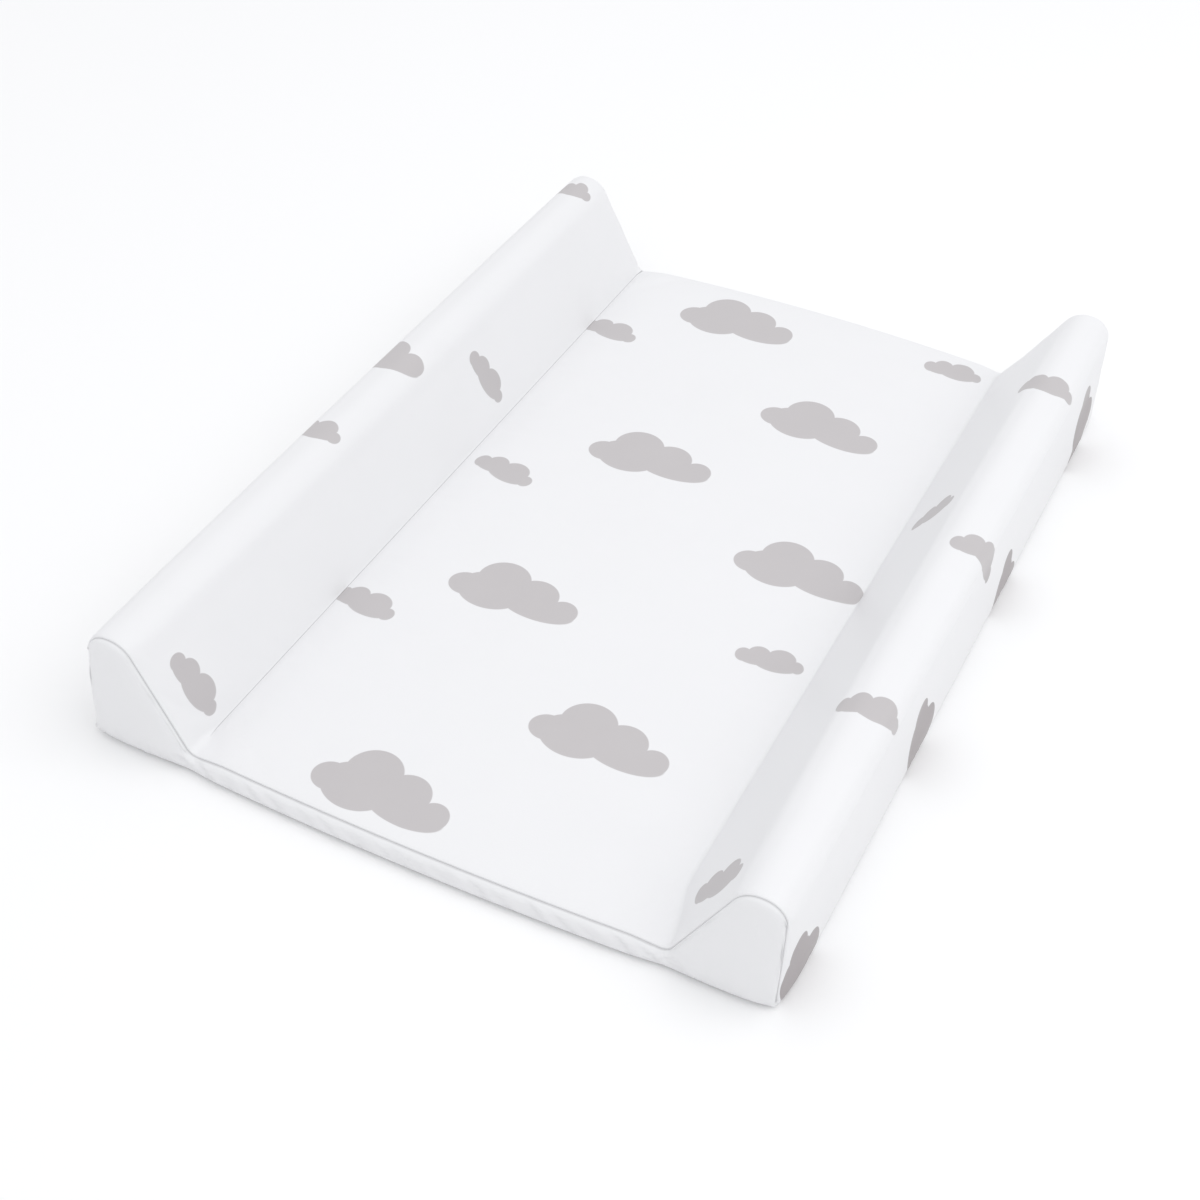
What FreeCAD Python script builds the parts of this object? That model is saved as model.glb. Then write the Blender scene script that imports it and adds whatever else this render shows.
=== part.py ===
"""Changing pad: a two-wedge baby changing mat with a stiff base, in millimetres.

The pad lies on its underside, with +Z up. X runs across it from wedge to wedge and Y along it.
The origin is at the middle of the underside. Every cross-section piece is cut from one outline,
the outer face of the film cover, moved inwards by the thickness of the layers that cover it.
"""
import FreeCAD
import Part
import math
import os

# Overall size
PAD_WIDTH = 500.0
PAD_LENGTH = 700.0
PAD_HEIGHT = 94.0

# Cross-section of the cover
CENTRE_HEIGHT = 16.5
VALLEY_HEIGHT = 13.5
VALLEY_SPACING = 345.0
BORDER_WIDTH = 24.0
BORDER_RADIUS = 90.0
WEDGE_SLOPE = 61.5
WALL_LEAN = 3.0
CREST_FALL = 1.5
KNEE_RADIUS = 20.0
SHOULDER_RADIUS = 17.0
VALLEY_RADIUS = 3.0
BASE_RADIUS = 6.0

# Layers
FILM = 0.8
WADDING = 1.6
BOARD = 3.0
BOARD_MARGIN = 8.0
BOARD_CORNER = 35.0
END_CLEARANCE = 2.0

# Seams
WELT_STAND = 0.8
WELT_OVERLAP = 1.8
WELT_LIP = 0.6
HEM = 12.0
WELD_STRIP = 0.6
WELD_WIDTH = 10.0

# Ties that hold the cover down along the two valleys
TIE = 0.6
TIE_FOOT = 14.0
TIE_CLEARANCE = 15.0
STAPLE_COUNT = 9
STAPLE_CROWN = 10.0
STAPLE_WIRE = 1.2
STAPLE_THICKNESS = 0.6
STAPLE_LEG = 2.4

# Vent eyelets in the rear end panel
VENT_SPACING = 420.0
VENT_HEIGHT = 42.0
VENT_BORE = 5.0
VENT_BARREL = 7.0
VENT_FLANGE = 13.0
VENT_FLANGE_THICKNESS = 0.6

# Worked out from the sizes above
HALF_WIDTH = PAD_WIDTH / 2 - WELT_STAND
HALF_LENGTH = PAD_LENGTH / 2 - WELT_LIP
COVER_HEIGHT = PAD_HEIGHT - WELT_STAND
VALLEY_X = VALLEY_SPACING / 2
CREST_X = VALLEY_X + (COVER_HEIGHT - VALLEY_HEIGHT) / math.tan(math.radians(WEDGE_SLOPE))
COVER_END = HALF_LENGTH - FILM
CORE_END = COVER_END - END_CLEARANCE
TIE_END = CORE_END - TIE_CLEARANCE
BOARD_BOTTOM = FILM + WELD_STRIP
BOARD_TOP = BOARD_BOTTOM + BOARD
HEM_X = HALF_WIDTH - HEM
HEM_Y = HALF_LENGTH - HEM

PARTS = "parts"


def right_outline():
    """Corners of the cover's right half, from the hem to the lying surface, with their radii."""
    return [
        (HEM_X, 0.0, 0.0),
        (HALF_WIDTH, 0.0, BASE_RADIUS),
        (HALF_WIDTH - WALL_LEAN, COVER_HEIGHT - CREST_FALL, SHOULDER_RADIUS),
        (CREST_X, COVER_HEIGHT, KNEE_RADIUS),
        (VALLEY_X, VALLEY_HEIGHT, VALLEY_RADIUS),
        (VALLEY_X - BORDER_WIDTH, CENTRE_HEIGHT, BORDER_RADIUS),
    ]


def cover_outline():
    """Corners of the whole cover, counter-clockwise from the right hem to the left hem."""
    right = right_outline()
    left = [(-x, z, radius) for x, z, radius in reversed(right)]
    return right + left


def unit(start, end):
    """Direction from one point to the next, with the distance between them."""
    dx = end[0] - start[0]
    dz = end[1] - start[1]
    length = math.hypot(dx, dz)
    return dx / length, dz / length, length


def inset(outline, distance):
    """The open outline moved to its left, into the pad, with its radii changed to match."""
    moved = []
    last = len(outline) - 1
    for index, (x, z, radius) in enumerate(outline):
        before = unit(outline[max(index - 1, 0)], outline[max(index, 1)])
        after = unit(outline[min(index, last - 1)], outline[min(index + 1, last)])
        cosine = before[0] * after[0] + before[1] * after[1]
        turn = before[0] * after[1] - before[1] * after[0]
        scale = distance / (1 + cosine)
        new_x = x - scale * (before[1] + after[1])
        new_z = z + scale * (before[0] + after[0])
        new_radius = radius - math.copysign(distance, turn) if radius else 0.0
        moved.append((new_x, new_z, new_radius))
    return moved


def vector(x, z):
    """A point of the cross-section, in the plane Y = 0."""
    return FreeCAD.Vector(x, 0, z)


def path_edges(outline):
    """Lines and tangent arcs along an open outline of (x, z, radius) corners."""
    edges = []
    position = vector(outline[0][0], outline[0][1])
    for index in range(1, len(outline) - 1):
        x, z, radius = outline[index]
        back = unit(outline[index], outline[index - 1])
        ahead = unit(outline[index], outline[index + 1])
        opening = math.acos(back[0] * ahead[0] + back[1] * ahead[1])
        reach = radius / math.tan(opening / 2)
        to_middle = radius / math.sin(opening / 2) - radius
        half = math.hypot(back[0] + ahead[0], back[1] + ahead[1])
        arc_start = vector(x + back[0] * reach, z + back[1] * reach)
        arc_end = vector(x + ahead[0] * reach, z + ahead[1] * reach)
        arc_middle = vector(
            x + (back[0] + ahead[0]) / half * to_middle,
            z + (back[1] + ahead[1]) / half * to_middle,
        )
        edges.append(Part.LineSegment(position, arc_start).toShape())
        edges.append(Part.Arc(arc_start, arc_middle, arc_end).toShape())
        position = arc_end
    edges.append(Part.LineSegment(position, vector(outline[-1][0], outline[-1][1])).toShape())
    return edges


def closed_face(outlines):
    """A face bounded by open outlines that are joined end to end by straight lines."""
    edges = []
    for index, outline in enumerate(outlines):
        following = outlines[(index + 1) % len(outlines)]
        edges += path_edges(outline)
        gap_start = vector(outline[-1][0], outline[-1][1])
        gap_end = vector(following[0][0], following[0][1])
        edges.append(Part.LineSegment(gap_start, gap_end).toShape())
    return Part.Face(Part.Wire(Part.__sortEdges__(edges)))


def extrude(face, y_start, y_end):
    """A prism of the cross-section face from one Y to another."""
    placed = face.copy()
    placed.translate(FreeCAD.Vector(0, y_start, 0))
    return placed.extrude(FreeCAD.Vector(0, y_end - y_start, 0))


def inside_cover(depth, y_end):
    """Everything that lies deeper under the cover's outer face than depth."""
    return extrude(closed_face([inset(cover_outline(), depth)]), -y_end, y_end)


def band(outline, outer_depth, inner_depth, y_start, y_end):
    """A layer that follows an open outline between two depths."""
    outer = inset(outline, outer_depth)
    inner = inset(outline, inner_depth)[::-1]
    return extrude(closed_face([outer, inner]), y_start, y_end)


def block(x_start, x_end, y_start, y_end, z_start, z_end):
    """A box given by its lowest and highest corner."""
    corner = FreeCAD.Vector(x_start, y_start, z_start)
    return Part.makeBox(x_end - x_start, y_end - y_start, z_end - z_start, corner)


def mirror_x(shape):
    """The same piece on the other wedge."""
    return shape.mirror(FreeCAD.Vector(0, 0, 0), FreeCAD.Vector(1, 0, 0))


def mirror_y(shape):
    """The same piece at the other end."""
    return shape.mirror(FreeCAD.Vector(0, 0, 0), FreeCAD.Vector(0, 1, 0))


def top_cover():
    """One sheet of film from hem to hem, over both wedges and the lying surface."""
    return band(cover_outline(), 0.0, FILM, -COVER_END, COVER_END)


def bottom_sheet():
    """The plain sheet that closes the underside between the hems."""
    return block(-HEM_X, HEM_X, -HEM_Y, HEM_Y, 0.0, FILM)


def end_panel():
    """The plain film at the front end, with the hem that turns under the pad."""
    wall = extrude(closed_face([cover_outline()]), -HALF_LENGTH, -COVER_END)
    hem = block(-HEM_X, HEM_X, -COVER_END, -HEM_Y, 0.0, FILM)
    return wall.fuse(hem).removeSplitter()


def vent_places():
    """Centres of the two vents, in the wedges' end faces."""
    return [(side * VENT_SPACING / 2, VENT_HEIGHT) for side in (-1, 1)]


def vent_disc(x, z, diameter, y_start, y_end):
    """A round disc along Y at a vent."""
    base = FreeCAD.Vector(x, y_start, z)
    return Part.makeCylinder(diameter / 2, y_end - y_start, base, FreeCAD.Vector(0, 1, 0))


def rear_end_panel():
    """The film at the rear end, with a hole for each vent eyelet."""
    panel = mirror_y(end_panel())
    for x, z in vent_places():
        panel = panel.cut(vent_disc(x, z, VENT_BARREL, COVER_END, HALF_LENGTH))
    return panel


def vent_eyelets():
    """Tubular eyelets whose flange lies on the outside of the rear end panel."""
    eyelets = []
    for x, z in vent_places():
        inner_end = COVER_END - VENT_FLANGE_THICKNESS
        barrel = vent_disc(x, z, VENT_BARREL, inner_end, HALF_LENGTH)
        flange = vent_disc(x, z, VENT_FLANGE, HALF_LENGTH, HALF_LENGTH + VENT_FLANGE_THICKNESS)
        bore = vent_disc(x, z, VENT_BORE, inner_end, HALF_LENGTH + VENT_FLANGE_THICKNESS)
        eyelets.append(barrel.fuse(flange).cut(bore).removeSplitter())
    return Part.makeCompound(eyelets)


def vent_washers():
    """Flat washers clinched round the eyelets' barrels behind the film."""
    washers = []
    for x, z in vent_places():
        inner_end = COVER_END - VENT_FLANGE_THICKNESS
        disc = vent_disc(x, z, VENT_FLANGE, inner_end, COVER_END)
        washers.append(disc.cut(vent_disc(x, z, VENT_BARREL, inner_end, COVER_END)))
    return Part.makeCompound(washers)


def seam_welt():
    """The bound edge where the cover meets the front end panel, from base to base."""
    foot = (HALF_WIDTH - WALL_LEAN * BASE_RADIUS / COVER_HEIGHT, BASE_RADIUS, 0.0)
    right = [foot] + right_outline()[2:]
    outline = right + [(-x, z, radius) for x, z, radius in reversed(right)]
    rim = band(outline, -WELT_STAND, 0.0, -HALF_LENGTH, -HALF_LENGTH + WELT_OVERLAP)
    lip = band(outline, -WELT_STAND, WELT_OVERLAP, -HALF_LENGTH - WELT_LIP, -HALF_LENGTH)
    return rim.fuse(lip).removeSplitter()


def side_bottom_seam():
    """The welded strip that joins the cover's right hem to the bottom sheet."""
    reach = HEM_Y + WELD_WIDTH / 2
    start = HEM_X - WELD_WIDTH / 2
    return block(start, start + WELD_WIDTH, -reach, reach, FILM, BOARD_BOTTOM)


def end_bottom_seam():
    """The welded strip that joins the front end panel's hem to the bottom sheet."""
    reach = HEM_X - WELD_WIDTH / 2
    start = -HEM_Y - WELD_WIDTH / 2
    return block(-reach, reach, start, start + WELD_WIDTH, FILM, BOARD_BOTTOM)


def valley_staples():
    """Staples that pin the right tie's foot to the board, evenly spaced along the valley."""
    staples = []
    middle_x = VALLEY_X + TIE_FOOT / 2
    crown_bottom = BOARD_TOP + TIE
    pitch = 2 * TIE_END / STAPLE_COUNT
    for index in range(STAPLE_COUNT):
        middle_y = (index + 0.5) * pitch - TIE_END
        start = middle_y - STAPLE_CROWN / 2
        end = middle_y + STAPLE_CROWN / 2
        sides = (middle_x - STAPLE_WIRE / 2, middle_x + STAPLE_WIRE / 2)
        staple = block(*sides, start, end, crown_bottom, crown_bottom + STAPLE_THICKNESS)
        for leg_start in (start, end - STAPLE_THICKNESS):
            leg_end = leg_start + STAPLE_THICKNESS
            leg = block(*sides, leg_start, leg_end, crown_bottom - STAPLE_LEG, crown_bottom)
            staple = staple.fuse(leg)
        staples.append(staple.removeSplitter())
    return Part.makeCompound(staples)


def valley_tie(staples):
    """An L-shaped film strip from the cover's right valley down to the board."""
    leg = block(VALLEY_X - TIE / 2, VALLEY_X + TIE / 2, -TIE_END, TIE_END, BOARD_TOP, PAD_HEIGHT)
    foot = block(VALLEY_X, VALLEY_X + TIE_FOOT, -TIE_END, TIE_END, BOARD_TOP, BOARD_TOP + TIE)
    return leg.common(inside_cover(FILM, TIE_END)).fuse(foot).removeSplitter().cut(staples)


def base_board(staples):
    """The stiff board, with rounded corners and the holes that the staples' legs make."""
    x_end = HALF_WIDTH - BOARD_MARGIN
    y_end = HALF_LENGTH - BOARD_MARGIN
    board = block(-x_end, x_end, -y_end, y_end, BOARD_BOTTOM, BOARD_TOP)
    uprights = [edge for edge in board.Edges if abs(edge.tangentAt(0).z) > 0.5]
    board = board.makeFillet(BOARD_CORNER, uprights)
    return board.cut(staples).cut(mirror_x(staples))


def centre_zone():
    """The room between the two ties, above the board."""
    x_end = VALLEY_X - TIE / 2
    return block(-x_end, x_end, -CORE_END, CORE_END, BOARD_TOP, PAD_HEIGHT)


def wedge_zone():
    """The room outside the right tie, above the board."""
    return block(VALLEY_X + TIE / 2, HALF_WIDTH, -CORE_END, CORE_END, BOARD_TOP, PAD_HEIGHT)


def wadding(zone):
    """The thin soft layer just under the film, within one zone."""
    layer = inside_cover(FILM, CORE_END).cut(inside_cover(FILM + WADDING, CORE_END))
    return layer.common(zone)


def core(zone):
    """The foam block under the wadding, within one zone."""
    return inside_cover(FILM + WADDING, CORE_END).common(zone)


def wedge_core():
    """The right wedge's foam block, relieved underneath for the tie's foot and the staples."""
    relief_top = BOARD_TOP + TIE + STAPLE_THICKNESS
    relief = block(0, VALLEY_X + TIE_FOOT, -CORE_END, CORE_END, BOARD_TOP, relief_top)
    return core(wedge_zone()).cut(relief)


def wedge_wadding():
    """The right wedge's wadding, standing clear of the tie's foot."""
    foot_zone = block(0, VALLEY_X + TIE_FOOT, -CORE_END, CORE_END, BOARD_TOP, BOARD_TOP + TIE)
    return wadding(wedge_zone()).cut(foot_zone)


def all_pieces():
    """Every node of the pad by name."""
    right_staples = valley_staples()
    right_tie = valley_tie(right_staples)
    pieces = {
        "top_cover": top_cover(),
        "bottom_sheet": bottom_sheet(),
        "front_end_panel": end_panel(),
        "rear_end_panel": rear_end_panel(),
        "front_seam_welt": seam_welt(),
        "rear_seam_welt": mirror_y(seam_welt()),
        "right_bottom_seam": side_bottom_seam(),
        "left_bottom_seam": mirror_x(side_bottom_seam()),
        "front_bottom_seam": end_bottom_seam(),
        "rear_bottom_seam": mirror_y(end_bottom_seam()),
        "base_board": base_board(right_staples),
        "centre_foam": core(centre_zone()),
        "centre_wadding": wadding(centre_zone()),
        "right_wedge_foam": wedge_core(),
        "left_wedge_foam": mirror_x(wedge_core()),
        "right_wedge_wadding": wedge_wadding(),
        "left_wedge_wadding": mirror_x(wedge_wadding()),
        "right_valley_tie": right_tie,
        "left_valley_tie": mirror_x(right_tie),
        "right_tie_staples": right_staples,
        "left_tie_staples": mirror_x(right_staples),
        "vent_eyelets": vent_eyelets(),
        "vent_washers": vent_washers(),
    }
    return pieces


def main():
    """Writes one STEP file per node."""
    os.makedirs(PARTS, exist_ok=True)
    for name, shape in all_pieces().items():
        shape.exportStep(os.path.join(PARTS, name + ".step"))
        box = shape.BoundBox
        size = "%.1f x %.1f x %.1f" % (box.XLength, box.YLength, box.ZLength)
        print(name, size, "solids", len(shape.Solids), "valid", shape.isValid())


main()
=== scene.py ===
"""Changing pad: the film cover, its seams and its soft filling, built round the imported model.

The film is worked out as one grid that runs across the pad from hem to hem and along it from
seam to seam. Each end panel is a second grid that shares the seam's points with the cover.
"""
import math

import bpy
import numpy as np
from mathutils import Matrix, Vector


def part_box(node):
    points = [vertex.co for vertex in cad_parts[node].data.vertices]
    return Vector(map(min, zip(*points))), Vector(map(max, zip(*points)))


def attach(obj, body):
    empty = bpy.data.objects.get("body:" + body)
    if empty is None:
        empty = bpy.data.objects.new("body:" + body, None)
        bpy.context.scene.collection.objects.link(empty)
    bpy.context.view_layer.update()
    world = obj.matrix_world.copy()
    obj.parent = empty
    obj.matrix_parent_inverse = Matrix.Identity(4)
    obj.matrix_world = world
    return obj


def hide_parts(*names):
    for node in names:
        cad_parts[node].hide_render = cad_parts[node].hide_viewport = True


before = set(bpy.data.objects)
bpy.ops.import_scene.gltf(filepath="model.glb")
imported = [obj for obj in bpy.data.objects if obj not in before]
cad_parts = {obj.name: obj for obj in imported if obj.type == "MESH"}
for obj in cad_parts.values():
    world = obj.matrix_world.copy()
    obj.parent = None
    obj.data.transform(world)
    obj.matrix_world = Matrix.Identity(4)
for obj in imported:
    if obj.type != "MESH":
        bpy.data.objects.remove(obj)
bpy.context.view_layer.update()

MM = 0.001

# Cross-section of the film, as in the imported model
BASE_RADIUS = 6.0 * MM
KNEE_RADIUS = 20.0 * MM
VALLEY_HEIGHT = 13.5 * MM
CENTRE_HEIGHT = 16.5 * MM
BORDER_WIDTH = 24.0 * MM
BORDER_RADIUS = 90.0 * MM
HEM = 12.0 * MM
WEDGE_SLOPE = math.radians(61.5)

# The valleys: how far from each end the tight and the slack parts start, and how the film
# stands up beside the lines where it is tied down
TIE_STOPS_FRONT = (12.0 * MM, 32.0 * MM)
TIE_STOPS_REAR = (3.0 * MM, 12.0 * MM)
SLACK_STOPS = (4.0 * MM, 60.0 * MM)
TIE_BLEND = (0.0, 30.0 * MM)
SWELL_REACH = 90.0 * MM
PUFF = 1.6 * MM
PUFF_EDGE = 1.4 * MM
PUFF_REACH = 10.0 * MM
SLACK_PUFF = 0.2
VALLEY_FOLD = 8.0 * MM

# The ends and the outer walls: how they bow, bulge and lean. A pair is the heights, or the
# distances past the valley, between which an effect comes in.
CREST_RISE = 0.6 * MM
FRONT_BOW = 5.0 * MM
REAR_BOW = 10.0 * MM
BOW_REACH = 120.0 * MM
WALL_START = 30.0 * MM
WALL_BULGE_TOP = 1.6 * MM
WALL_BULGE_BASE = 3.6 * MM
WALL_BULGE_HEIGHTS = (78.0 * MM, 55.0 * MM)
WALL_BASE_HEIGHTS = (60.0 * MM, 8.0 * MM)
LEFT_FLARE = 5.5 * MM
FLARE_HEIGHT = 85.0 * MM
FLARE_START = 20.0 * MM
PANEL_BULGE_TOP = 4.2 * MM
PANEL_BULGE_BASE = 6.0 * MM
PANEL_BASE_HEIGHTS = (40.0 * MM, 6.0 * MM)
PANEL_SWELL = 7.0 * MM
CORNER_SPREAD = 14.0 * MM

# The foot of the end panels, and the bottom corners
FOOT_TUCK = 1.5 * MM
FOOT_HEIGHTS = (15.0 * MM, 3.0 * MM)
FOOT_START = (-25.0 * MM, 15.0 * MM)
CRINKLE = 1.5 * MM
CRINKLE_TOP = 18.0 * MM
CRINKLE_LENGTHS = (0.009, 0.014, 0.019, 0.031)
CRINKLE_LEAN = 2
CRINKLE_SEED = 5
CORNER_LIFT = 0.8 * MM
LIFT_SPREAD = 15.0 * MM
LIFT_HEIGHT = 40.0 * MM

# The seams between the cover and the end panels, with the bound edge along them
SEAM_INSET = 3.2 * MM
SEAM_END_INSET = 4.4 * MM
SEAM_ROLL = 4.5 * MM
SEAM_DEPTH = 1.5 * MM
WELT_RADIUS = 0.9 * MM
WELT_RISE = 0.3 * MM
WELT_OUT = -0.8 * MM

# The cloth simulation that settles the film
SETTLE_FRAMES = 20
SETTLE_QUALITY = 6
SETTLE_PRESSURE = 4.0
SETTLE_SLACK = 0.004
SETTLE_LIMIT = 1.3 * MM
CLOTH_MASS = 0.3
CLOTH_STRETCH = 40
CLOTH_SHEAR = 15
CLOTH_BEND = 2
PIN_REACH = 3.0 * MM
PIN_STEPS = 10

# Thicknesses and gaps of the skins and of the filling
FILM = 0.6 * MM
WADDING = 1.6 * MM
CLEARANCE = 0.1 * MM
FILLING_GAP = 0.6 * MM
CORE_GAP = 5.0 * MM
STAPLE_ROOM = 1.3 * MM
BLOCK_BASE_POINTS = 24
WELD_WIDTH = 10.0 * MM
WELD_THICKNESS = 0.5 * MM
WELD_CELL = 4.0 * MM

# Vents: their places across and up the rear panel, and (radius, depth) profiles in millimetres
EYELET_PLACES = ((-210.0 * MM, 42.0 * MM), (210.0 * MM, 42.0 * MM))
EYELET = ((2.5, -3), (2.5, 0.2), (3, 0.75), (4.2, 0.95))
EYELET += ((5.8, 0.6), (6.5, 0.05), (3.6, 0), (3.3, -3))
WASHER = ((3.5, -1.3), (6.3, -1.3), (6.5, -1.1), (6.3, -0.75), (3.5, -0.75))
EYELET_HOLE = ((0.01, -4), (3.4, -4), (3.4, 4), (0.01, 4))

# The print, in millimetres on the film: the ellipses that make up each cloud, each with its
# centre and its half-sizes
LARGE_CLOUD = (
    (-36, -9, 13, 12),
    (-13, 7, 20, 19.5),
    (15.5, 2, 17, 16.5),
    (40, -6, 11.5, 12),
    (-16.5, -8, 25, 19.5),
    (22.5, -10, 28.5, 12.5),
)
SMALL_CLOUD = (
    (-18.5, -3.5, 6, 7),
    (-8, -0.5, 8.5, 9),
    (8, 0.5, 10.5, 9.7),
    (20, -4, 5.2, 6),
    (5, -4.4, 17, 9.6),
    (-11, -4, 13, 7.5),
)
# Places of the clouds on the film: across, along, turn in degrees, and size
LARGE_PLACES = (
    (-58, -102, 1, 1),
    (-58, 300, 1, 1),
    (62.5, -205.5, 0, 1),
    (62, 196.5, -4, 1),
    (-41, -309.5, -2, 1),
    (-41, 92.5, 4, 1),
    (115, 20, 0, 1),
    (374, -317, -2, 1),
    (367, -107, -6, 1),
    (381, 80, -16, 1),
    (357, 283, -12, 1),
    (-308, 25, 0, 1),
    (-360, -204, 0, 1),
    (-360, 197, 0, 1),
)
SMALL_PLACES = (
    (132, -79, 8, 1),
    (131, 322, 8, 1),
    (-148, -160, -10, 1.1),
    (-150, 242, -10, 1.1),
    (-212, -310, 5.5, 1.03),
    (-216, 90, 10, 1),
    (-134, 24, -12, 1.1),
    (209.5, -309, -4, 1.12),
    (212, 88, -6, 1),
    (271, -166, 4, 1),
    (266, 235, -4, 1.05),
    (287, 22, 14, 1.1),
    (-288, -84, -6, 1),
    (-286, 320, 0, 1),
)
# Colours of the film and the ink. Over INK_WALL, across the right wall, the ink is painted darker
# as painted shade for that side.
FILM_WHITE = (0.83, 0.83, 0.84)
FILM_SHADE = (0.815, 0.815, 0.825)
INK_LIGHT = (0.535, 0.512, 0.517)
INK_DARK = (0.515, 0.492, 0.497)
INK_PAINTED_SHADE = (0.37, 0.34, 0.345)
INK_WALL = (296.0, 325.0)
INK_EDGE = 0.3

# Painted shade: dark lines painted into the film's colour where shade falls, in the narrow grooves
# beside the end seams and in the left valley's fold from a little behind the front end. In
# millimetres on the film, apart from the fold's reach, which is in halves of the fold.
SEAM_SHADE_REACH = (0.2, 0.95)
SEAM_SHADE = 0.72
FOLD_SHADE_REACH = (0.8, 1.05)
FOLD_SHADE_START = (-326.0, -314.0)
FOLD_SHADE = 0.62

# Materials: a pair of colours is the darker and the lighter that the surface varies between
FILM_ROUGHNESS = 0.45
FILM_GLOSS = (0.40, 0.50)
FILM_GRAIN_SCALE = 900.0
FILM_PATCH_SCALE = 26.0
FILM_GRAIN_DEPTH = 0.00006
FILM_GRAIN_STRENGTH = 0.6
BINDING_COLOURS = ((0.80, 0.80, 0.81), (0.84, 0.84, 0.85))
TIE_COLOURS = ((0.74, 0.74, 0.72), (0.80, 0.80, 0.78))
FOAM_COLOURS = ((0.62, 0.52, 0.27), (0.87, 0.79, 0.52))
FOAM_SCALE = 850.0
FOAM_DEPTH = 0.0006
WADDING_COLOURS = ((0.70, 0.70, 0.68), (0.92, 0.92, 0.91))
WADDING_SCALE = 140.0
WADDING_DEPTH = 0.0008
BOARD_COLOURS = ((0.11, 0.055, 0.025), (0.17, 0.09, 0.045))
FIBRE_COLOUR = (0.27, 0.16, 0.085)
FIBRE_SCALE = 420.0
FIBRE_DEPTH = 0.0002
BOARD_PATCH_SCALE = 18.0
EYELET_COLOURS = ((0.5, 0.5, 0.51), (0.75, 0.75, 0.76))
STAPLE_COLOURS = ((0.40, 0.39, 0.37), (0.62, 0.62, 0.63))
METAL_MARK_SCALE = 1600.0
METAL_DULLNESS = (0.7, 1.5)

# Studio
FLOOR_HALF = 20.0
FLOOR_GREY = 0.93
SKY_COLOUR = (0.98, 0.985, 1.0)
FLOOR_Z = -0.3 * MM
SKY_HORIZON = 0.72
SKY_ZENITH = 1.10
SOFTBOX_SIZE = 2.2
SOFTBOX_POWER = 10.0
SOFTBOX_PLACE = (1.1, 0.1, 1.9)
CAMERA_ANGLES = (24.688, 41.254, 2.556)
CAMERA_PLACE = (0.43568, -1.03482, 0.93762)
CAMERA_LENS = 58.0
CAMERA_SENSOR = 36.0

# Sections of the film: at the ends, and in the middle over the tight left and slack right
# valley
END_SECTION = {
    "crest_swell": 0.0,
    "crest_fall": 1.5 * MM,
    "shoulder": 17.0 * MM,
    "valley": 7.0 * MM,
    "valley_slack": 0.0,
}
TIGHT_SECTION = {
    "crest_swell": 1.8 * MM,
    "crest_fall": 6.0 * MM,
    "shoulder": 11.0 * MM,
    "valley": 2.0 * MM,
    "valley_slack": 0.0,
}
SLACK_SECTION = dict(TIGHT_SECTION, valley=4.0 * MM, valley_slack=9.5 * MM)
SLACK_END_SECTION = dict(END_SECTION, valley=9.0 * MM, valley_slack=6.0 * MM)
SLACK_RISE = 0.12
WALL_GRADING = 1.4

# Grid sizes: cells along the pad, and in each straight and each arc of a half section
CELL = 4.5 * MM
SEAM_CELL = 0.8 * MM
CELL_GROWTH = 1.16
WALL_CELLS = 19
LINE_CELLS = (3, None, 2, 19, 5, 33)
ARC_CELLS = (6, 9, 8, 5, 3)
LEVEL = 1e-7

cover_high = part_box("top_cover")[1]
panel_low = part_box("front_end_panel")[0]
CREST_HEIGHT = cover_high[2] + CREST_RISE
HALF_WIDTH = cover_high[0] - SEAM_INSET
HALF_LENGTH = -panel_low[1] - SEAM_END_INSET
VALLEY_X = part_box("centre_foam")[1][0] + 0.3 * MM


# ---------------------------------------------------------------- outline and grids


def unit(start, end):
    """Direction from one point of the cross-section to another."""
    step = np.subtract(end, start)
    return step / np.linalg.norm(step)


def graded(length, first, largest, growth):
    """Positions from 0 to length whose steps grow from the first one to the largest."""
    steps = []
    step = first
    while sum(steps) + step < length and step < largest:
        steps.append(step)
        step *= growth
    rest = length - sum(steps)
    count = max(1, round(rest / largest))
    steps += [rest / count] * count
    return np.concatenate([[0.0], np.cumsum(steps)])


def half_corners(section):
    """Corners of one half of the cross-section, from the hem to the middle."""
    crest = CREST_HEIGHT + section["crest_swell"]
    crest_x = VALLEY_X + (CREST_HEIGHT - VALLEY_HEIGHT) / math.tan(WEDGE_SLOPE)
    valley_x = VALLEY_X - section["valley_slack"]
    valley_z = VALLEY_HEIGHT + section["valley_slack"] * SLACK_RISE
    return [
        (HALF_WIDTH - HEM, 0.0, 0.0),
        (HALF_WIDTH, 0.0, BASE_RADIUS),
        (HALF_WIDTH, crest - section["crest_fall"], section["shoulder"]),
        (crest_x - section["crest_swell"] / 2, crest, KNEE_RADIUS),
        (valley_x, valley_z, section["valley"]),
        (VALLEY_X - BORDER_WIDTH, CENTRE_HEIGHT, BORDER_RADIUS),
        (0.0, CENTRE_HEIGHT, 0.0),
    ]


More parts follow.
